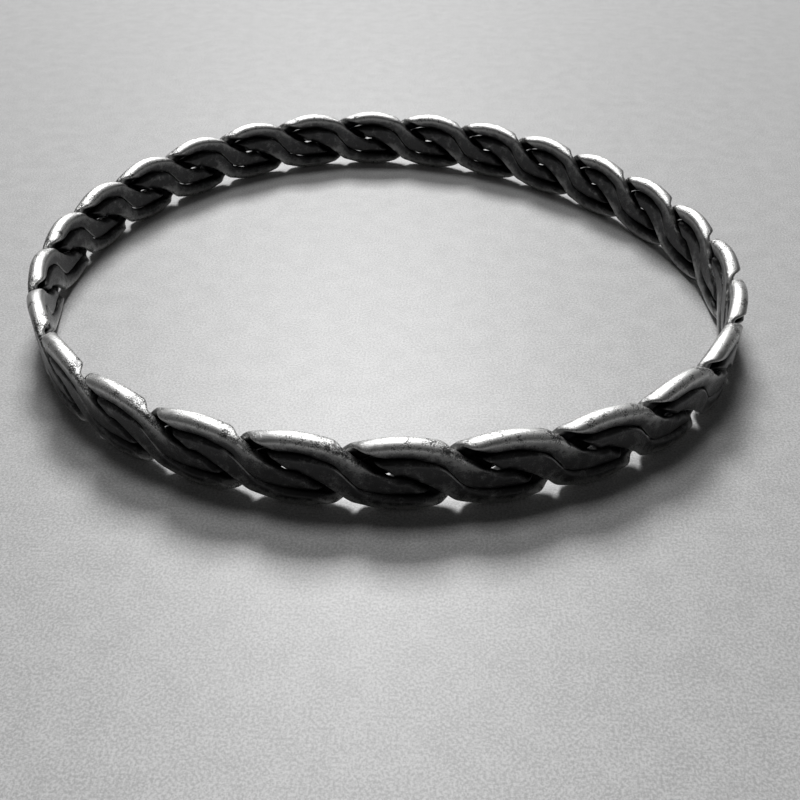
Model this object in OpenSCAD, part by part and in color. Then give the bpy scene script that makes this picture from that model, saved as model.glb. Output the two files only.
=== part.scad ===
// Braided bangle: two doubled wires crossed over each other all the way round and rolled flat.
// Each pair is an upper and a lower wire. It runs down across the outer face and up across the
// inner face, so the two pairs cross once in every bump. Millimetres, +Z up, the bangle lies flat.

/* [Bangle] */
// Mean radius of the closed loop, to the middle of the wall
mean_radius = 33; // [28:0.5:38]
// How far the loop is pulled into an oval
oval_swell = 0.95; // [0:0.01:1.6]
// Direction of the oval's long axis, in degrees
oval_turn = 153.4; // [0:0.1:180]
// How far one end of the oval is fuller than the other
egg_swell = 0.75; // [0:0.01:1.2]
// Direction of the fuller end, in degrees
egg_turn = 97.7; // [0:0.1:120]
// Direction at which the first bump starts, in degrees
first_bump = 211.7; // [0:0.1:360]

/* [Braid] */
// Full turns of one pair round the other, each one makes two bumps
turns = 13; // [11:1:14]
// Thickness of the rolled wall
wall = 1.48; // [1.3:0.02:1.8]
// Half of the height that a pair climbs and falls
climb = 1.82; // [1.8:0.01:1.9]
// Height between the upper and the lower wire at the top of a bump
wire_spacing = 1.57; // [1.4:0.01:1.6]
// Further lift of the outermost wire at the crest of a bump
crest_lift = 0.07; // [0:0.01:0.12]
// Distance along the loop by which the two wires of a pair spread on the slopes
slope_spread = 1.85; // [1.4:0.05:1.9]
// How suddenly a pair drops into its slope
drop_sharpness = 3.2; // [2.5:0.1:3.6]
// Share of the plain wave left in the bumps
roundness_of_bumps = 0.58; // [0.4:0.01:0.62]

/* [Fit] */
// Play left on the outward side of each wire
side_play = 0.09; // [0.08:0.01:0.14]
// Play left on the side of each wire that faces the other one of its pair
pair_play = 0.01; // [0.01:0.01:0.08]
// Play left between the outer and the inner layer
layer_play = 0.1; // [0.08:0.01:0.16]

/* [Wire section] */
// Narrowing of a wire where it turns down from its crest
slope_trim = 1.25; // [1:0.05:1.4]
// Widening of a tucked wire toward the small hole in the middle of each cell
tuck_fill = 0.29; // [0:0.01:0.3]
// Squareness of the section at the tops, 2 is an ellipse
top_squareness = 2; // [2:0.1:2.6]
// Squareness of the section on the slopes
slope_squareness = 3.2; // [2:0.1:3.6]
// How far the section at the tops is pressed flat
top_press = 1.1; // [1:0.05:1.3]
// How far the section on the slopes is pressed flat
slope_press = 1.5; // [1:0.05:1.6]

/* [Fineness] */
// Sections of a wire in each bump
sections = 9; // [7:1:9]
// Corners of each section
corners = 8; // [6:2:8]

/* [Hidden] */

// Place of the top of the first bump, in bumps from its start
phase = 0.531;
// Both wires of a pair fill the whole wall near the top and the bottom of their wave.
// From there they move into one layer, outer or inner. Distances from the top, in bumps
whole_until = 0.17;
layered_from = 0.28;
// How much later, as a cosine, the edge away from the middle of the band moves into the layer
layer_lean = 0.2;
// Steepness at which a wire counts as fully on its slope
full_slope = 0.72;
// Nearness to the crest, as a cosine, at which the narrowing is full
trim_peak = 0.5;
metal = [0.42, 0.42, 0.43];

bumps = 2 * turns;
rings = bumps * sections;
half_wall = wall / 2;
layer_depth = half_wall + layer_play / 2;

function tanh(x) = (exp(x) - exp(-x)) / (exp(x) + exp(-x));
function mix(a, b, share) = a + (b - a) * share;
function eased(share) =
    let (t = min(1, max(0, share)))
    t * t * (3 - 2 * t);

// Outline of the loop: an oval with one fuller end
function outline_radius(a) =
    mean_radius + oval_swell * cos(2 * (a - oval_turn)) + egg_swell * cos(3 * (a - egg_turn));
function outline_growth(a) =
    -2 * oval_swell * sin(2 * (a - oval_turn)) - 3 * egg_swell * sin(3 * (a - egg_turn));
function outline_point(a) = outline_radius(a) * [cos(a), sin(a)];
function outline_run(a) =
    outline_growth(a) * [cos(a), sin(a)] + outline_radius(a) * [-sin(a), cos(a)];
function outline_outward(a) =
    let (run = outline_run(a))
    [run.y, -run.x] / norm(run);

// Directions listed against the length walked, so that the bumps are spaced evenly
outline_steps = 1440;
outline_step = 360 / outline_steps;
function step_direction(i) = first_bump + i * outline_step;
function step_length(i) = norm(outline_point(step_direction(i + 1)) - outline_point(step_direction(i)));
walked =
    [for (i = 0, length = 0; i <= outline_steps; length = length + step_length(i), i = i + 1)
        [length, step_direction(i)]];
loop_length = walked[outline_steps][0];
bump_pitch = loop_length / bumps;
function wrapped(length) = length - loop_length * floor(length / loop_length);
function direction_at(length) = lookup(wrapped(length), walked);

// A point of the wall: length along the loop, depth outward from its middle, height
function wall_point(length, depth, height) =
    let (a = direction_at(length), flat = outline_point(a) + depth * outline_outward(a))
    [flat.x, flat.y, height];

// Rise and fall of a pair, v counts bumps from the top of one
function wave(v) =
    mix(tanh(drop_sharpness * cos(180 * v)) / tanh(drop_sharpness), cos(180 * v), roundness_of_bumps);
function wave_slope(v) =
    let (t = tanh(drop_sharpness * cos(180 * v)))
    let (steep = drop_sharpness * (1 - t * t) / tanh(drop_sharpness))
    -PI * sin(180 * v) * mix(steep, 1, roundness_of_bumps);

// Nearness to a wire's own crest: the upper wire's is at the top, the lower wire's at the bottom
function crest(v, side) = pow(max(0, side * cos(180 * v)), 2);
function crest_slope(v, side) = -2 * PI * side * max(0, side * cos(180 * v)) * sin(180 * v);

// Share of the way into one layer at an angle round the section: 0 as thick as the wall,
// 1 wholly in the layer
function layered(v, turn) =
    let (
        nearness = abs(cos(180 * v)) + layer_lean * sign(cos(180 * v)) * cos(turn),
        whole = cos(180 * whole_until),
        layer = cos(180 * layered_from)
    )
    1 - eased((nearness - layer) / (whole - layer));

// Corner of an oblong section, at an angle round it
function squared(x, squareness) = sign(x) * pow(abs(x), 2 / squareness);

// One section of a wire: side is 1 for the upper wire of a pair and -1 for the lower one.
// It reaches from the play beside the pair's other wire out to its far edge
function wire_section(pair, side, ring) =
    let (
        u = ring / sections,
        v = u - phase + pair,
        own = side * cos(180 * v),
        outside = sin(180 * v) >= 0,
        spread = slope_spread / 2 * sin(180 * v),
        lift = crest_lift * crest(v, side),
        d_along = bump_pitch + side * slope_spread / 2 * PI * cos(180 * v),
        d_height = climb * wave_slope(v) + side * crest_lift * crest_slope(v, side),
        across = [-d_height, d_along] / norm([d_along, d_height]),
        on_slope = pow(min(1, abs(across.x) / full_slope), 2),
        trim = slope_trim * on_slope * pow((1 + own) / (1 + trim_peak), 2),
        fill = tuck_fill * pow(max(0, -own), 4),
        apart = [spread, wire_spacing / 2] * across,
        far_edge = 2 * apart - side_play - trim + fill,
        half_width = (far_edge - pair_play) / 2 + lift,
        shift = (far_edge + pair_play) / 2 - apart,
        along = u * bump_pitch + side * (spread + shift * across.x),
        height = climb * wave(v) + side * (wire_spacing / 2 + lift + shift * across.y),
        squareness = mix(top_squareness, slope_squareness, on_slope),
        press = mix(top_press, slope_press, on_slope)
    )
    [for (corner = [0 : corners - 1])
        let (
            turn = 360 * (corner + 0.5) / corners,
            free = layer_depth * layered(v, turn),
            outer = outside ? half_wall : half_wall - free,
            inner = outside ? free - half_wall : -half_wall,
            middle = (outer + inner) / 2,
            half_depth = (outer - inner) / 2,
            wide = half_width * squared(cos(turn), squareness),
            deep = middle + half_depth * press * squared(sin(turn), squareness)
        )
        wall_point(along + wide * across.x, min(outer, max(inner, deep)), height + wide * across.y)];

function wire_points(pair, side) =
    [for (ring = [0 : rings - 1]) each wire_section(pair, side, ring)];

// Skin of a wire that closes on itself, two triangles between each two corners
function skin() =
    [for (ring = [0 : rings - 1], corner = [0 : corners - 1])
        let (
            next_ring = (ring + 1) % rings,
            next_corner = (corner + 1) % corners,
            a = ring * corners + corner,
            b = ring * corners + next_corner,
            c = next_ring * corners + next_corner,
            d = next_ring * corners + corner
        )
        each [[a, b, c], [a, c, d]]];

// The bangle stands with its lowest point on the floor and its middle over the origin
every_point = [for (pair = [0, 1], side = [1, -1]) each wire_points(pair, side)];
function least(axis) = min([for (p = every_point) p[axis]]);
function most(axis) = max([for (p = every_point) p[axis]]);
stand = [-(least(0) + most(0)) / 2, -(least(1) + most(1)) / 2, -least(2)];

module wire(pair, side) {
    translate(stand)
        polyhedron(points = wire_points(pair, side), faces = skin());
}

module first_pair_upper_wire() {
    color(metal) wire(0, 1);
}

module first_pair_lower_wire() {
    color(metal) wire(0, -1);
}

module second_pair_upper_wire() {
    color(metal) wire(1, 1);
}

module second_pair_lower_wire() {
    color(metal) wire(1, -1);
}

first_pair_upper_wire();
first_pair_lower_wire();
second_pair_upper_wire();
second_pair_lower_wire();
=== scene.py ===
"""A braided bangle of four rolled silver wires, dressed and lit for a studio picture.

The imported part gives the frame, its box and the node names. Each wire is built again here with
finer sections and blackened silver, in metres and in the same frame.
"""

import bisect
import functools
import logging
import math
from dataclasses import dataclass, field
from enum import Enum

import bmesh
import bpy
from mathutils import Matrix, Vector

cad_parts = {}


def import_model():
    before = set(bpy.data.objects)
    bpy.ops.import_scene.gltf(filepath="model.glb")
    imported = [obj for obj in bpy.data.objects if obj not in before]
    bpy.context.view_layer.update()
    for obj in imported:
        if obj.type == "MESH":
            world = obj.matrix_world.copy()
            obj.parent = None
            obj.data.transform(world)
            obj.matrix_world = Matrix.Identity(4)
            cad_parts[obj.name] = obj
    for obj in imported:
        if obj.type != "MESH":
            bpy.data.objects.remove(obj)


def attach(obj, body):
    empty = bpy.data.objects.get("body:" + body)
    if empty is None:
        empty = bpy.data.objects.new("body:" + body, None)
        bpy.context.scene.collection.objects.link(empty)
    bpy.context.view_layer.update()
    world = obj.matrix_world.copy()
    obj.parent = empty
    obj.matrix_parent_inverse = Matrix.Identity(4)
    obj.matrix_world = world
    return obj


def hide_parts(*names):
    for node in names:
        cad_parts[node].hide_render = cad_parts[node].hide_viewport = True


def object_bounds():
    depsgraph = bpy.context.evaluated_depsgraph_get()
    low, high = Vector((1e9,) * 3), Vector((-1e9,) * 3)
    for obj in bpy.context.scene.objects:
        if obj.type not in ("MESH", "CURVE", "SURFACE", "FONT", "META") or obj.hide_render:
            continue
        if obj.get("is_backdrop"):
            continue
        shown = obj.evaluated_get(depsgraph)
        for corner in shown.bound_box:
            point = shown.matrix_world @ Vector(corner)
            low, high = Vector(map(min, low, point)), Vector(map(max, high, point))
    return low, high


LOG = logging.getLogger("braided_bangle")
MM = 0.001

Span = tuple[float, float]
Colour = tuple[float, float, float, float]
Socket = bpy.types.NodeSocket
Constant = float | tuple[float, ...]


class Side(Enum):
    """Which wire of a pair: the upper or the lower one."""

    UPPER = 1
    LOWER = -1


class Pair(Enum):
    """Which pair of the braid, by the number of bumps that it runs ahead."""

    FIRST = 0
    SECOND = 1


def mix(low: float, high: float, share: float) -> float:
    """Returns the value a share of the way from low to high."""
    return low + (high - low) * share


def ramp(value: float, span: Span) -> float:
    """Eased step across a span of values.

    Args:
        value: The number to place on the step.
        span: Where the step leaves 0 and where it reaches 1.

    Returns:
        A number from 0 to 1.
    """
    low, high = span
    share = min(1.0, max(0.0, (value - low) / (high - low)))
    return share * share * (3 - 2 * share)


def squared(value: float, squareness: float) -> float:
    """Returns a sine or cosine drawn out from an ellipse toward an oblong."""
    return math.copysign(abs(value) ** (2 / squareness), value)


def toward(heading: float, elevation: float) -> Vector:
    """Direction in which something stands, seen from the middle of the floor.

    Args:
        heading: Angle from +Y toward +X, in radians.
        elevation: Angle over the floor, in radians.

    Returns:
        The direction, of length 1.
    """
    flat = math.cos(elevation)
    return Vector((math.sin(heading) * flat, math.cos(heading) * flat, math.sin(elevation)))


def add_object(name: str, data: bpy.types.ID) -> bpy.types.Object:
    """Makes an object and links it to the scene.

    Args:
        name: The object's name.
        data: Its mesh, light or camera.

    Returns:
        The object.
    """
    made = bpy.data.objects.new(name, data)
    bpy.context.scene.collection.objects.link(made)
    return made


@dataclass(frozen=True)
class Loop:
    """Outline of the closed bangle: an oval with one fuller end, walked by length.

    Attributes:
        mean_radius: Mean radius, to the middle of the wall.
        oval_swell: How far the loop is pulled into an oval.
        oval_turn: Direction of the oval's long axis.
        egg_swell: How far one end of the oval is fuller than the other.
        egg_turn: Direction of the fuller end.
        first_bump: Direction at which the first bump starts.
        steps: Steps in which the loop is walked.
    """

    mean_radius: float = 33 * MM
    oval_swell: float = 0.95 * MM
    oval_turn: float = math.radians(153.4)
    egg_swell: float = 0.75 * MM
    egg_turn: float = math.radians(97.7)
    first_bump: float = math.radians(211.7)
    steps: int = 2880

    def angle(self, step: float) -> float:
        """Returns the direction reached after a number of steps from the first bump."""
        return self.first_bump + step * math.tau / self.steps

    def point(self, angle: float) -> Vector:
        """Point of the outline.

        Args:
            angle: Direction round the bangle.

        Returns:
            The point, on the plane of the bangle.
        """
        radius = (
            self.mean_radius
            + self.oval_swell * math.cos(2 * (angle - self.oval_turn))
            + self.egg_swell * math.cos(3 * (angle - self.egg_turn))
        )
        return Vector((radius * math.cos(angle), radius * math.sin(angle), 0))

    def outward(self, angle: float) -> Vector:
        """Outward direction of the outline, square to its run.

        Args:
            angle: Direction round the bangle.

        Returns:
            The outward direction, of length 1.
        """
        half_step = 0.5 * math.tau / self.steps
        run = self.point(angle + half_step) - self.point(angle - half_step)
        return Vector((run.y, -run.x, 0)).normalized()

    @functools.cached_property
    def walked(self) -> list[float]:
        """Lengths walked from the first bump.

        Returns:
            The length at each step round the loop, the last one at the first bump again.
        """
        lengths = [0.0]
        for step in range(self.steps):
            stride = self.point(self.angle(step + 1)) - self.point(self.angle(step))
            lengths.append(lengths[-1] + stride.length)
        return lengths

    @property
    def length(self) -> float:
        """Returns the length of the whole loop."""
        return self.walked[-1]

    def direction(self, along: float) -> float:
        """Direction reached after a length along the loop.

        Args:
            along: Length from the first bump, in metres; it may pass the loop's end.

        Returns:
            The angle round the bangle, in radians.
        """
        along %= self.length
        step = min(bisect.bisect_right(self.walked, along), self.steps) - 1
        share = (along - self.walked[step]) / (self.walked[step + 1] - self.walked[step])
        return self.angle(step + share)

    def wall_point(self, along: float, depth: float, height: float) -> Vector:
        """A point of the wall.

        Args:
            along: Length along the loop.
            depth: Distance outward from the middle of the wall.
            height: Height over the middle of the braid.

        Returns:
            The point in the loop's own frame.
        """
        angle = self.direction(along)
        return self.point(angle) + depth * self.outward(angle) + Vector((0, 0, height))


@dataclass(frozen=True)
class Section:
    """Place and shape of one section of a wire.

    Attributes:
        bump: Where it lies in its pair's wave, in bumps from a top.
        along: Length along the loop to its middle.
        height: Height of its middle over the middle of the braid.
        across: Direction of its width, as parts along the loop and upward.
        half_width: Half of its width.
        squareness: Squareness of its outline, 2 is an ellipse.
        press: How far it is pressed flat.
        level: Height of its pair toward the wire's own edge, as a share of the climb.
    """

    bump: float
    along: float
    height: float
    across: tuple[float, float]
    half_width: float
    squareness: float
    press: float
    level: float

    def reach(self, turn: float, limits: Span) -> tuple[float, float]:
        """Corner of the section at an angle round it.

        Args:
            turn: Angle round the section, 0 is its upper edge and a quarter turn its outer face.
            limits: The outer and the inner limit there, from the middle of the wall.

        Returns:
            The distances across the wire's width and outward through the wall.
        """
        outer, inner = limits
        wide = self.half_width * squared(math.cos(turn), self.squareness)
        pressed = (outer - inner) / 2 * self.press * squared(math.sin(turn), self.squareness)
        return wide, min(outer, max(inner, (outer + inner) / 2 + pressed))


@dataclass(frozen=True)
class Braid:
    """Sizes of the braid: how the pairs rise, fall, spread and change layer.

    Attributes:
        loop: Outline that the braid follows.
        turns: Full turns of one pair round the other, each one makes two bumps.
        wall: Thickness of the rolled wall.
        climb: Half of the height that a pair climbs and falls.
        wire_spacing: Height between the upper and the lower wire at the top of a bump.
        crest_lift: Further lift of the outermost wire at the crest of a bump.
        slope_spread: Distance along the loop by which a pair's wires spread on the slopes.
        drop_sharpness: How suddenly a pair drops into its slope.
        roundness_of_bumps: Share of the plain wave left in the bumps.
        side_play: Play on the outward side of each wire.
        pair_play: Play on the side of each wire that faces the other one of its pair.
        layer_play: Play between the outer and the inner layer.
        slope_trim: Narrowing of a wire where it turns down from its crest.
        tuck_fill: Widening of a tucked wire toward the small hole in the middle of each cell.
        top_squareness: Squareness of the section at the tops.
        slope_squareness: Squareness of the section on the slopes.
        top_press: How far the section at the tops is pressed flat.
        slope_press: How far the section on the slopes is pressed flat.
        whole_until: Distance from the top, in bumps, to which a wire fills the whole wall.
        layered_from: Distance from the top, in bumps, from which it is in one layer.
        layer_lean: How much later, as a cosine, the edge away from the middle changes layer.
        full_slope: Steepness at which a wire counts as fully on its slope.
        trim_peak: Nearness to the crest, as a cosine, at which the narrowing is full.
        phase: Place of the top of the first bump, in bumps from its start.
    """

    loop: Loop = field(default_factory=Loop)
    turns: int = 13
    wall: float = 1.48 * MM
    climb: float = 1.82 * MM
    wire_spacing: float = 1.57 * MM
    crest_lift: float = 0.07 * MM
    slope_spread: float = 1.85 * MM
    drop_sharpness: float = 3.2
    roundness_of_bumps: float = 0.58
    side_play: float = 0.09 * MM
    pair_play: float = 0.01 * MM
    layer_play: float = 0.1 * MM
    slope_trim: float = 1.25 * MM
    tuck_fill: float = 0.29 * MM
    top_squareness: float = 2.0
    slope_squareness: float = 3.2
    top_press: float = 1.1
    slope_press: float = 1.5
    whole_until: float = 0.17
    layered_from: float = 0.28
    layer_lean: float = 0.2
    full_slope: float = 0.72
    trim_peak: float = 0.5
    phase: float = 0.531

    @property
    def bumps(self) -> int:
        """Returns the number of bumps round the bangle, two for each full turn."""
        return 2 * self.turns

    @property
    def pitch(self) -> float:
        """Returns the length of one bump along the loop."""
        return self.loop.length / self.bumps

    def wave(self, bump: float) -> tuple[float, float]:
        """Rise and fall of a pair.

        Args:
            bump: Bumps counted from the top of one.

        Returns:
            The height as a share of the climb, and its growth in each bump.
        """
        steep = self.drop_sharpness
        bent = math.tanh(steep * math.cos(math.pi * bump))
        height = mix(bent / math.tanh(steep), math.cos(math.pi * bump), self.roundness_of_bumps)
        growth = mix(steep * (1 - bent * bent) / math.tanh(steep), 1, self.roundness_of_bumps)
        return height, -math.pi * math.sin(math.pi * bump) * growth

    def crest(self, bump: float, side: Side) -> tuple[float, float]:
        """Nearness to a wire's own crest: the upper wire's is the top, the lower wire's the bottom.

        Args:
            bump: Bumps counted from the top of one.
            side: Upper or lower wire of the pair.

        Returns:
            1 at the crest and 0 half a bump away, and its growth in each bump.
        """
        own = max(0.0, side.value * math.cos(math.pi * bump))
        return own * own, -math.tau * side.value * own * math.sin(math.pi * bump)

    def layered(self, bump: float, turn: float) -> float:
        """Share of the way into one layer.

        Args:
            bump: Bumps counted from the top of one.
            turn: Angle round the section, 0 is its upper edge.

        Returns:
            0 where the wire is as thick as the wall, 1 where it is wholly in one layer.
        """
        level = math.cos(math.pi * bump)
        lean = self.layer_lean * math.copysign(math.cos(turn), level * math.cos(turn))
        layer = math.cos(math.pi * self.layered_from)
        whole = math.cos(math.pi * self.whole_until)
        return 1 - ramp(abs(level) + lean, (layer, whole))

    def layer(self, bump: float, turn: float) -> Span:
        """Outer and inner limits of a wire through the wall.

        Args:
            bump: Bumps counted from the top of one; the outer slopes are the first halves.
            turn: Angle round the section, 0 is its upper edge.

        Returns:
            The outer and the inner limit, from the middle of the wall.
        """
        half_wall = self.wall / 2
        freed = (half_wall + self.layer_play / 2) * self.layered(bump, turn)
        if math.sin(math.pi * bump) >= 0:
            return half_wall, freed - half_wall
        return half_wall - freed, -half_wall

    def section(self, pair: Pair, side: Side, travel: float) -> Section:
        """One section of a wire, from the play beside its pair's other wire to its far edge.

        Args:
            pair: Which pair the wire belongs to.
            side: Upper or lower wire of the pair.
            travel: Bumps travelled along the loop from its first bump.

        Returns:
            The section's place and shape.
        """
        bump = travel - self.phase + pair.value
        level, growth = self.wave(bump)
        crest, crest_growth = self.crest(bump, side)

        # The wire's course, and the direction of its width square to that.
        spread = self.slope_spread / 2 * math.sin(math.pi * bump)
        turning = math.pi * math.cos(math.pi * bump)
        run = self.pitch + side.value * self.slope_spread / 2 * turning
        rise = self.climb * growth + side.value * self.crest_lift * crest_growth
        stride = math.hypot(run, rise)
        across = (-rise / stride, run / stride)

        # Its width, from the play beside the pair's other wire to its far edge.
        own = side.value * math.cos(math.pi * bump)
        on_slope = min(1.0, abs(across[0]) / self.full_slope) ** 2
        trim = self.slope_trim * on_slope * ((1 + own) / (1 + self.trim_peak)) ** 2
        fill = self.tuck_fill * max(0.0, -own) ** 4
        lift = self.crest_lift * crest
        half_spacing = self.wire_spacing / 2
        apart = spread * across[0] + half_spacing * across[1]
        far_edge = 2 * apart - self.side_play - trim + fill
        shift = (far_edge + self.pair_play) / 2 - apart
        return Section(
            bump=bump,
            along=travel * self.pitch + side.value * (spread + shift * across[0]),
            height=self.climb * level + side.value * (half_spacing + lift + shift * across[1]),
            across=across,
            half_width=(far_edge - self.pair_play) / 2 + lift,
            squareness=mix(self.top_squareness, self.slope_squareness, on_slope),
            press=mix(self.top_press, self.slope_press, on_slope),
            level=side.value * level,
        )


@dataclass(frozen=True)
class Pattern:
    """A noise pattern.

    Attributes:
        scale: How many patches fit in a metre.
        detail: How many finer layers are added.
        roughness: How strong the finer layers are.
    """

    scale: float
    detail: float
    roughness: float


class MaterialBench:
    """A new material, with its shader nodes placed and joined."""

    COLUMN_WIDTH = 220
    ROW_HEIGHT = 180
    ROWS = 3

    def __init__(self, name: str) -> None:
        """Starts the material with its shader and the object's coordinates.

        Args:
            name: The material's name.
        """
        self.material = bpy.data.materials.new(name)
        self.material.use_nodes = True
        self.tree = self.material.node_tree
        self.shader = self.tree.nodes["Principled BSDF"]
        self.added = 0
        self.place = self.add("ShaderNodeTexCoord").outputs["Object"]

    def add(self, kind: str, **settings: object) -> bpy.types.Node:
        """Adds a node.

        Args:
            kind: Blender's name for the node type.
            settings: Properties of the node to set.

        Returns:
            The new node.
        """
        node = self.tree.nodes.new(kind)
        for name, value in settings.items():
            setattr(node, name, value)
        row = self.added % self.ROWS
        node.location = (self.COLUMN_WIDTH * self.added, -self.ROW_HEIGHT * row)
        self.added += 1
        return node

    def feed(self, target: Socket, value: Socket | Constant) -> None:
        """Joins an output to an input, or sets the input to a constant.

        Args:
            target: The input.
            value: An output socket, or a number, colour or vector.
        """
        if isinstance(value, Socket):
            self.tree.links.new(value, target)
        else:
            target.default_value = value

    def attribute(self, name: str, output: str = "Fac") -> Socket:
        """Returns the output with the values kept in the mesh under a name."""
        return self.add("ShaderNodeAttribute", attribute_name=name).outputs[output]

    def math(self, operation: str, *values: Socket | float) -> Socket:
        """Adds a sum.

        Args:
            operation: Blender's name for the operation.
            values: The sockets or numbers that it takes, in its order.

        Returns:
            The output socket.
        """
        node = self.add("ShaderNodeMath", operation=operation)
        for target, value in zip(node.inputs, values):
            self.feed(target, value)
        return node.outputs[0]

    def remap(self, value: Socket, span: Span, result: Span = (0, 1)) -> Socket:
        """Maps a span of values to another, eased and kept inside it.

        Args:
            value: The socket to map.
            span: The values that the result's ends belong to.
            result: The two ends of the result.

        Returns:
            The output socket.
        """
        node = self.add("ShaderNodeMapRange", interpolation_type="SMOOTHSTEP")
        names = ("Value", "From Min", "From Max", "To Min", "To Max")
        for name, given in zip(names, (value, *span, *result)):
            self.feed(node.inputs[name], given)
        return node.outputs["Result"]

    def noise(self, place: Socket, pattern: Pattern) -> Socket:
        """Adds a noise pattern.

        Args:
            place: The socket with the coordinates.
            pattern: The pattern's sizes.

        Returns:
            The output socket with the pattern's value.
        """
        node = self.add("ShaderNodeTexNoise")
        names = ("Vector", "Scale", "Detail", "Roughness")
        given = (place, pattern.scale, pattern.detail, pattern.roughness)
        for name, value in zip(names, given):
            self.feed(node.inputs[name], value)
        return node.outputs["Fac"]

    def stretched(self, place: Socket, scale: tuple[float, float, float]) -> Socket:
        """Stretches coordinates for a pattern that is drawn out in one direction.

        Args:
            place: The socket with the coordinates.
            scale: How much each direction is scaled.

        Returns:
            The output socket with the stretched coordinates.
        """
        node = self.add("ShaderNodeMapping")
        self.feed(node.inputs["Vector"], place)
        self.feed(node.inputs["Scale"], scale)
        return node.outputs["Vector"]

    def colours(self, share: Socket, first: Socket | Colour, second: Socket | Colour) -> Socket:
        """Mixes two colours.

        Args:
            share: The socket with the second colour's share.
            first: The first colour, or a socket.
            second: The second colour, or a socket.

        Returns:
            The output socket with the colour.
        """
        node = self.add("ShaderNodeMix", data_type="RGBA")
        self.feed(node.inputs["Factor"], share)
        targets = [socket for socket in node.inputs if socket.type == "RGBA"]
        for target, colour in zip(targets, (first, second)):
            self.feed(target, colour)
        return next(socket for socket in node.outputs if socket.type == "RGBA")


@dataclass(frozen=True)
class BlackenedSilver:
    """Silver darkened by age, rubbed bright where it is touched, and black in the gaps: oxide
    together with painted shade.

    Attributes:
        bright: Colour of the rubbed metal.
        grey: Colour of the metal darkened by age.
        black: Colour of the oxide and painted shade in the gaps.
        bright_roughness: Roughness of the rubbed metal.
        grey_roughness: Roughness of the darkened metal.
        patches: Broad patches.
        specks: Fine specks.
        drawn: Streaks along the wire.
        drawn_scale: How far the streaks are drawn out, along, across and through the wire.
        patch_wear: How much the patches make the wear uneven.
        speck_wear: How much the specks make the wear uneven.
        wear_span: Wear at which the metal starts to brighten, and at which it is bright.
        pitted_pull: How much more easily pits form on the pitted parts.
        pit_span: Depth at which the pits start, and at which they are full.
        pit_share: How dark the pits are.
        oxide_and_shade_patches: How much the patches make the oxide and painted shade uneven.
        oxide_and_shade_span: Depth at which the oxide and painted shade start, and at which they
            are full.
        streak_roughness: How much the roughness changes between the streaks.
        drawn_relief: Height of the streaks in the relief.
        patch_relief: Height of the patches in the relief.
        relief_strength: Strength of the relief.
        relief_depth: Depth of the relief.
    """

    bright: Colour = (0.80, 0.80, 0.79, 1)
    grey: Colour = (0.060, 0.060, 0.061, 1)
    black: Colour = (0.008, 0.008, 0.0085, 1)
    bright_roughness: float = 0.44
    grey_roughness: float = 0.36
    patches: Pattern = Pattern(1300, 3, 0.6)
    specks: Pattern = Pattern(8500, 2, 0.7)
    drawn: Pattern = Pattern(5200, 2, 0.6)
    drawn_scale: tuple[float, float, float] = (0.05, 1, 1)
    patch_wear: float = 0.9
    speck_wear: float = 0.7
    wear_span: Span = (0.05, 1.05)
    pitted_pull: float = 0.11
    pit_span: Span = (0.5, 0.7)
    pit_share: float = 0.88
    oxide_and_shade_patches: float = 0.35
    oxide_and_shade_span: Span = (0.45, 0.85)
    streak_roughness: float = 0.16
    drawn_relief: float = 0.25
    patch_relief: float = 0.5
    relief_strength: float = 0.35
    relief_depth: float = 0.06 * MM

    def build(self) -> bpy.types.Material:
        """Builds the material.

        Returns:
            The finished material.
        """
        bench = MaterialBench("blackened_silver")
        rubbed = bench.attribute("rubbed")
        travel = bench.stretched(bench.attribute("wire_travel", "Vector"), self.drawn_scale)
        patches = bench.noise(bench.place, self.patches)
        specks = bench.noise(bench.place, self.specks)
        drawn = bench.noise(travel, self.drawn)

        uneven = bench.math("MULTIPLY_ADD", patches, self.patch_wear, -self.patch_wear / 2)
        grained = bench.math("MULTIPLY_ADD", specks, self.speck_wear, -self.speck_wear / 2)
        worn = bench.math("ADD", rubbed, bench.math("ADD", uneven, grained))
        worn = bench.remap(worn, self.wear_span)
        depth = bench.math("ADD", specks, uneven)
        depth = bench.math("MULTIPLY_ADD", bench.attribute("pitted"), self.pitted_pull, depth)
        pits = bench.math("MULTIPLY", bench.remap(depth, self.pit_span), self.pit_share)
        # Oxide and painted shade: black painted deeper into the gaps between the wires, where shade
        # falls.
        oxide_and_shade = bench.math("MULTIPLY_ADD", patches, self.oxide_and_shade_patches, bench.attribute("recess_oxide_and_shade"))
        oxide_and_shade = bench.remap(oxide_and_shade, self.oxide_and_shade_span)

        colour = bench.colours(worn, self.grey, self.bright)
        colour = bench.colours(bench.math("MULTIPLY", pits, worn), colour, self.grey)
        colour = bench.colours(oxide_and_shade, colour, self.black)
        bench.feed(bench.shader.inputs["Base Color"], colour)
        roughness = bench.remap(worn, (0, 1), (self.grey_roughness, self.bright_roughness))
        roughness = bench.math("MULTIPLY_ADD", drawn, self.streak_roughness, roughness)
        roughness = bench.math("SUBTRACT", roughness, self.streak_roughness / 2)
        bench.feed(bench.shader.inputs["Roughness"], roughness)
        bench.feed(bench.shader.inputs["Metallic"], 1)

        relief = bench.math("SUBTRACT", bench.math("MULTIPLY", specks, rubbed), pits)
        relief = bench.math("ADD", relief, bench.math("MULTIPLY", drawn, self.drawn_relief))
        relief = bench.math("ADD", relief, bench.math("MULTIPLY", patches, self.patch_relief))
        bump = bench.add("ShaderNodeBump")
        bench.feed(bump.inputs["Strength"], self.relief_strength)
        bench.feed(bump.inputs["Distance"], self.relief_depth)
        bench.feed(bump.inputs["Height"], relief)
        bench.feed(bench.shader.inputs["Normal"], bump.outputs["Normal"])
        return bench.material


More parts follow.
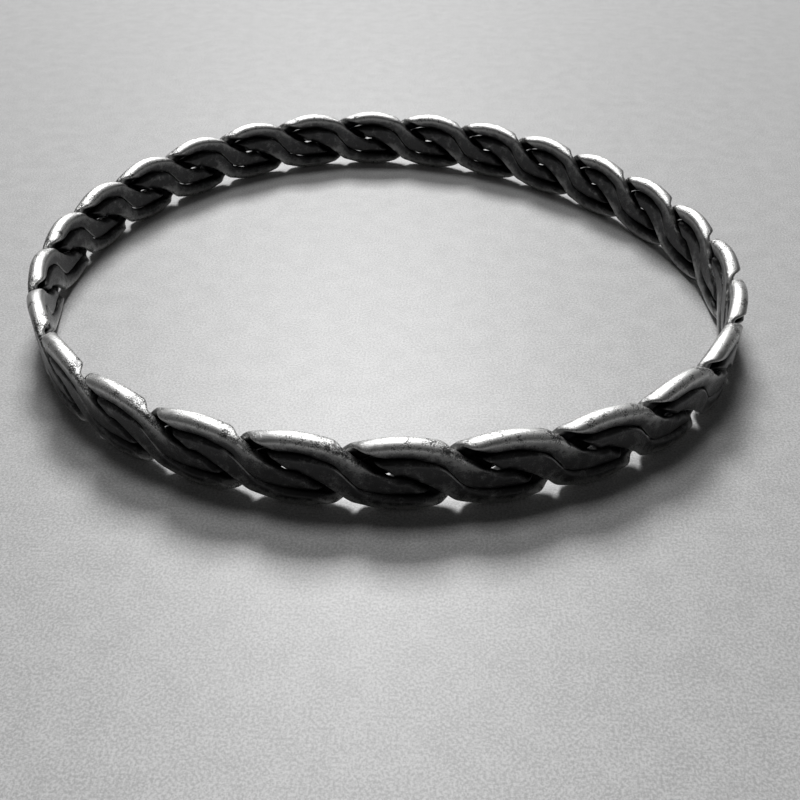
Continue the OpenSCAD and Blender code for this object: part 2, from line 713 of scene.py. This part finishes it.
@dataclass(frozen=True)
class PaleFloor:
    """A plain pale floor with a faint grain.

    Attributes:
        light: Colour of the palest grains.
        dark: Colour of the darkest grains.
        roughness: Roughness of the floor.
        half_size: Half of the floor's width.
        clouds: Broad clouds.
        grain: Fine grain.
        cloud_share: Share of the clouds in the pattern, the grain has the rest.
        shade_span: Pattern at which the shade leaves dark, and at which it is light.
    """

    light: Colour = (0.56, 0.56, 0.56, 1)
    dark: Colour = (0.35, 0.35, 0.35, 1)
    roughness: float = 0.46
    half_size: float = 1.2
    clouds: Pattern = Pattern(420, 3, 0.6)
    grain: Pattern = Pattern(5200, 3, 0.8)
    cloud_share: float = 0.14
    shade_span: Span = (0.38, 0.62)

    def build(self) -> bpy.types.Object:
        """Builds the floor.

        Returns:
            The floor's object.
        """
        mesh = bmesh.new()
        bmesh.ops.create_grid(mesh, x_segments=1, y_segments=1, size=self.half_size)
        data = bpy.data.meshes.new("floor")
        mesh.to_mesh(data)
        mesh.free()
        data.materials.append(self.finish())
        return add_object("floor", data)

    def finish(self) -> bpy.types.Material:
        """Builds the floor's material.

        Returns:
            The finished material.
        """
        bench = MaterialBench("pale_floor")
        clouds = bench.math("MULTIPLY", bench.noise(bench.place, self.clouds), self.cloud_share)
        grain = bench.noise(bench.place, self.grain)
        pattern = bench.math("MULTIPLY_ADD", grain, 1 - self.cloud_share, clouds)
        colour = bench.colours(bench.remap(pattern, self.shade_span), self.dark, self.light)
        bench.feed(bench.shader.inputs["Base Color"], colour)
        bench.feed(bench.shader.inputs["Roughness"], self.roughness)
        return bench.material


@dataclass(frozen=True)
class Wear:
    """How far a wire is rubbed bright, from 0 to 1, and where that changes.

    Attributes:
        face: Wear of the outer and inner faces.
        rim: Wear of the edges of those faces.
        crown: Wear of the open top or bottom edge.
        before_crest: Share of the crown's wear that is there before the crest.
        facing_span: How far a corner faces the open edge, as a cosine.
        level_span: How far the pair has climbed to the open edge, as a share of the climb.
        crest_span: Bumps past the crest over which the crown's wear becomes full.
        pitted_span: Bumps past the crest over which the crown becomes pitted.
        width_span: Share of the half width over which the rim begins.
        depth_span: Share of the half wall over which the rim begins.
    """

    face: float = 0.08
    rim: float = 0.5
    crown: float = 1.0
    before_crest: float = 0.42
    facing_span: Span = (-0.5, 0.9)
    level_span: Span = (-0.7, 0.6)
    crest_span: Span = (-0.5, 0.0)
    pitted_span: Span = (0.08, 0.32)
    width_span: Span = (0.8, 0.92)
    depth_span: Span = (0.75, 0.98)


@dataclass(frozen=True)
class Wire:
    """One wire of the braid, closed on itself.

    Attributes:
        name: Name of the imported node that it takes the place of.
        braid: The braid's sizes.
        pair: Which pair the wire belongs to.
        side: Upper or lower wire of the pair.
        wear: Where the wire is rubbed bright.
        sections_per_bump: Sections in each bump.
        corners: Corners of each section.
    """

    name: str
    braid: Braid
    pair: Pair
    side: Side
    wear: Wear = Wear()
    sections_per_bump: int = 48
    corners: int = 32

    # The plain ring that is bent into the wire has a section with a radius of 1.
    RING_RADIUS = 3.0
    MERGE_DISTANCE = 0.001

    @property
    def sections(self) -> int:
        """Returns the number of sections all the way round."""
        return self.sections_per_bump * self.braid.bumps

    def ring(self) -> bmesh.types.BMesh:
        """Spins a round section through one bump, then copies the bump all the way round.

        Returns:
            The ring, with each vertex's section and corner kept in two layers.
        """
        mesh = bmesh.new()
        aside = Matrix.Translation((self.RING_RADIUS, 0, 0))
        upright = aside @ Matrix.Rotation(math.pi / 2, 4, "X")
        bmesh.ops.create_circle(mesh, segments=self.corners, radius=1.0, matrix=upright)
        spin = functools.partial(bmesh.ops.spin, mesh, cent=(0, 0, 0), axis=(0, 0, 1))
        bump_angle = math.tau / self.braid.bumps
        circle = mesh.verts[:] + mesh.edges[:]
        spin(geom=circle, angle=bump_angle, steps=self.sections_per_bump)
        one_bump = mesh.verts[:] + mesh.edges[:] + mesh.faces[:]
        copies = self.braid.bumps - 1
        spin(geom=one_bump, angle=bump_angle * copies, steps=copies, use_duplicate=True)
        bmesh.ops.remove_doubles(mesh, verts=mesh.verts[:], dist=self.MERGE_DISTANCE)
        section_layer = mesh.verts.layers.int.new("section")
        corner_layer = mesh.verts.layers.int.new("corner")
        for vert in mesh.verts:
            x, y, z = vert.co
            round_ring = math.atan2(y, x) / math.tau
            round_wire = math.atan2(math.hypot(x, y) - self.RING_RADIUS, z) / math.tau
            vert[section_layer] = round(round_ring * self.sections) % self.sections
            vert[corner_layer] = round(round_wire * self.corners) % self.corners
        return mesh

    def past_crest(self, section: Section) -> float:
        """How far a section lies past the wire's nearest crest.

        Args:
            section: The section to place.

        Returns:
            The distance in bumps, below 0 before the crest.
        """
        crest = 0 if self.side is Side.UPPER else 1
        return (section.bump - crest + 1) % 2 - 1

    def exposure(self, section: Section, turn: float) -> float:
        """How openly a corner lies on the top or bottom edge of the bangle.

        Args:
            section: The section that the corner is on.
            turn: The corner's angle round the section.

        Returns:
            1 on the open edge, 0 where another wire lies beside it.
        """
        facing = ramp(self.side.value * math.cos(turn), self.wear.facing_span)
        climbed = ramp(section.level, self.wear.level_span)
        begun = ramp(self.past_crest(section), self.wear.crest_span)
        return facing * climbed * mix(self.wear.before_crest, 1, begun)

    def rim(self, section: Section, wide: float, deep: float) -> float:
        """How near a corner lies to the edge of a flat outer or inner face.

        Args:
            section: The section that the corner is on.
            wide: The corner's distance across the wire.
            deep: The corner's distance outward from the middle of the wall.

        Returns:
            1 on the edge, 0 on the middle of the face and deep in the gap beside it.
        """
        near_edge = ramp(abs(wide) / section.half_width, self.wear.width_span)
        near_face = ramp(abs(deep) / (self.braid.wall / 2), self.wear.depth_span)
        return near_edge * near_face

    def shape(self) -> bpy.types.Mesh:
        """Moves the ring's vertices onto the wire's path and marks its wear.

        Returns:
            The finished mesh, in the loop's own frame.
        """
        mesh = self.ring()
        section_layer = mesh.verts.layers.int["section"]
        corner_layer = mesh.verts.layers.int["corner"]
        travel_layer = mesh.verts.layers.float_vector.new("wire_travel")
        rubbed_layer = mesh.verts.layers.float.new("rubbed")
        recess_oxide_and_shade_layer = mesh.verts.layers.float.new("recess_oxide_and_shade")
        pitted_layer = mesh.verts.layers.float.new("pitted")
        sections = [
            self.braid.section(self.pair, self.side, place / self.sections_per_bump)
            for place in range(self.sections)
        ]
        half_wall = self.braid.wall / 2
        for vert in mesh.verts:
            section = sections[vert[section_layer]]
            turn = vert[corner_layer] * math.tau / self.corners
            wide, deep = section.reach(turn, self.braid.layer(section.bump, turn))
            along = section.along + wide * section.across[0]
            height = section.height + wide * section.across[1]
            vert.co = self.braid.loop.wall_point(along, deep, height)
            vert[travel_layer] = (section.along, wide, deep)
            open_edge = self.exposure(section, turn)
            crown_wear = mix(self.wear.face, self.wear.crown, open_edge)
            rim_wear = mix(self.wear.face, self.wear.rim, self.rim(section, wide, deep))
            vert[rubbed_layer] = max(crown_wear, rim_wear)
            # Darker deeper into the wall and away from the open edge: oxide together with painted
            # shade in the gaps.
            vert[recess_oxide_and_shade_layer] = (1 - abs(deep) / half_wall) * (1 - open_edge)
            vert[pitted_layer] = ramp(self.past_crest(section), self.wear.pitted_span)
        bmesh.ops.recalc_face_normals(mesh, faces=mesh.faces)
        for face in mesh.faces:
            face.smooth = True
        data = bpy.data.meshes.new(self.name)
        mesh.to_mesh(data)
        mesh.free()
        return data

    def dress(self, data: bpy.types.Mesh, silver: bpy.types.Material) -> bpy.types.Object:
        """Makes the wire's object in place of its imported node.

        Args:
            data: The wire's mesh, in the part's frame.
            silver: The finish.

        Returns:
            The wire's object.
        """
        data.materials.append(silver)
        wire = add_object(self.name, data)
        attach(wire, "root")
        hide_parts(self.name)
        return wire


@dataclass(frozen=True)
class BraidedBangle:
    """The four wires, two pairs crossed over each other all the way round."""

    braid: Braid = field(default_factory=Braid)

    def wires(self) -> list[Wire]:
        """Returns the four wires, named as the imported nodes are."""
        return [
            Wire(f"{pair.name.lower()}_pair_{side.name.lower()}_wire", self.braid, pair, side)
            for pair in Pair
            for side in Side
        ]

    def build(
        self, silver: bpy.types.Material, low: Vector, high: Vector
    ) -> list[bpy.types.Object]:
        """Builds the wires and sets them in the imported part's box.

        Args:
            silver: The finish of the wires.
            low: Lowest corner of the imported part.
            high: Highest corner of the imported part.

        Returns:
            The wires' objects.
        """
        wires = self.wires()
        meshes = [wire.shape() for wire in wires]
        points = [vert.co for data in meshes for vert in data.vertices]
        middle = []
        for axis in range(3):
            places = [point[axis] for point in points]
            middle.append((min(places) + max(places)) / 2)
        shift = (low + high) / 2 - Vector(middle)
        built = []
        for wire, data in zip(wires, meshes):
            data.transform(Matrix.Translation(shift))
            built.append(wire.dress(data, silver))
            LOG.info("%s: %d faces", wire.name, len(data.polygons))
        return built


@dataclass(frozen=True)
class Viewpoint:
    """Where the picture is taken from.

    Attributes:
        aim: Point that the camera looks at.
        distance: Distance from there to the camera.
        heading: Direction of the camera from there.
        elevation: Height of the camera, as an angle over the floor.
        roll: How far the camera is turned round its own view.
        sensor: Width of the sensor, in millimetres as Blender has it.
        lens: Focal length, likewise.
        nearest: Nearest distance that the camera sees.
    """

    aim: tuple[float, float, float] = (2.504 * MM, -26.815 * MM, 6.021 * MM)
    distance: float = 70.265 * MM
    heading: float = math.radians(180 - 2.286)
    elevation: float = math.radians(38.060)
    roll: float = math.radians(0.119)
    sensor: float = 36.0
    lens: float = 40.482
    nearest: float = 1 * MM

    def build(self) -> bpy.types.Object:
        """Builds the camera and makes it the scene's.

        Returns:
            The camera's object.
        """
        data = bpy.data.cameras.new("camera")
        data.sensor_width = self.sensor
        data.lens = self.lens
        data.clip_start = self.nearest
        camera = add_object("camera", data)
        away = toward(self.heading, self.elevation)
        position = Matrix.Translation(Vector(self.aim) + away * self.distance)
        upright = away.to_track_quat("Z", "Y").to_matrix().to_4x4()
        camera.matrix_world = position @ upright @ Matrix.Rotation(self.roll, 4, "Z")
        bpy.context.scene.camera = camera
        return camera


@dataclass(frozen=True)
class Softbox:
    """A square soft light that looks at the bangle.

    Attributes:
        name: The light's name.
        heading: Direction of the light from the bangle.
        elevation: Height of the light, as an angle over the floor.
        distance: Distance from the bangle.
        size: Width of the light.
        power: Power of the light, in watts.
    """

    name: str
    heading: float
    elevation: float
    distance: float
    size: float
    power: float

    def build(self) -> bpy.types.Object:
        """Builds the light.

        Returns:
            The light's object.
        """
        data = bpy.data.lights.new(self.name, "AREA")
        data.shape = "SQUARE"
        data.size = self.size
        data.energy = self.power
        light = add_object(self.name, data)
        away = toward(self.heading, self.elevation)
        light.location = away * self.distance
        light.rotation_euler = away.to_track_quat("Z", "Y").to_euler()
        return light


@dataclass(frozen=True)
class Studio:
    """The floor, the soft lights and the camera.

    Attributes:
        floor: The floor.
        viewpoint: The camera.
        window: The main light, behind the bangle.
        lamp: The weaker light, high over it.
        sky_strength: Strength of the even light from all round.
    """

    floor: PaleFloor = PaleFloor()
    viewpoint: Viewpoint = Viewpoint()
    window: Softbox = Softbox(
        "window",
        heading=math.radians(-6),
        elevation=math.radians(46),
        distance=0.9,
        size=0.26,
        power=7.7,
    )
    lamp: Softbox = Softbox(
        "lamp",
        heading=math.radians(-14),
        elevation=math.radians(72),
        distance=0.9,
        size=0.22,
        power=2.2,
    )
    sky_strength: float = 0.05

    def build(self) -> None:
        """Builds everything round the bangle."""
        self.floor.build()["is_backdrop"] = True
        self.window.build()
        self.lamp.build()
        self.viewpoint.build()
        world = bpy.data.worlds.new("studio")
        world.use_nodes = True
        sky = world.node_tree.nodes["Background"]
        sky.inputs["Color"].default_value = (1, 1, 1, 1)
        sky.inputs["Strength"].default_value = self.sky_strength
        bpy.context.scene.world = world
        bpy.context.scene.view_settings.view_transform = "Standard"


def main() -> None:
    """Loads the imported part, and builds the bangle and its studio."""
    logging.basicConfig(level=logging.INFO, format="%(name)s: %(message)s")
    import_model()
    packed_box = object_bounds()
    low, high = (Vector(corner) for corner in packed_box)
    silver = BlackenedSilver().build()
    for wire in BraidedBangle().build(silver, low, high):
        LOG.info("placed %s", wire.name)
    Studio().build()


if __name__ == "__main__":
    main()
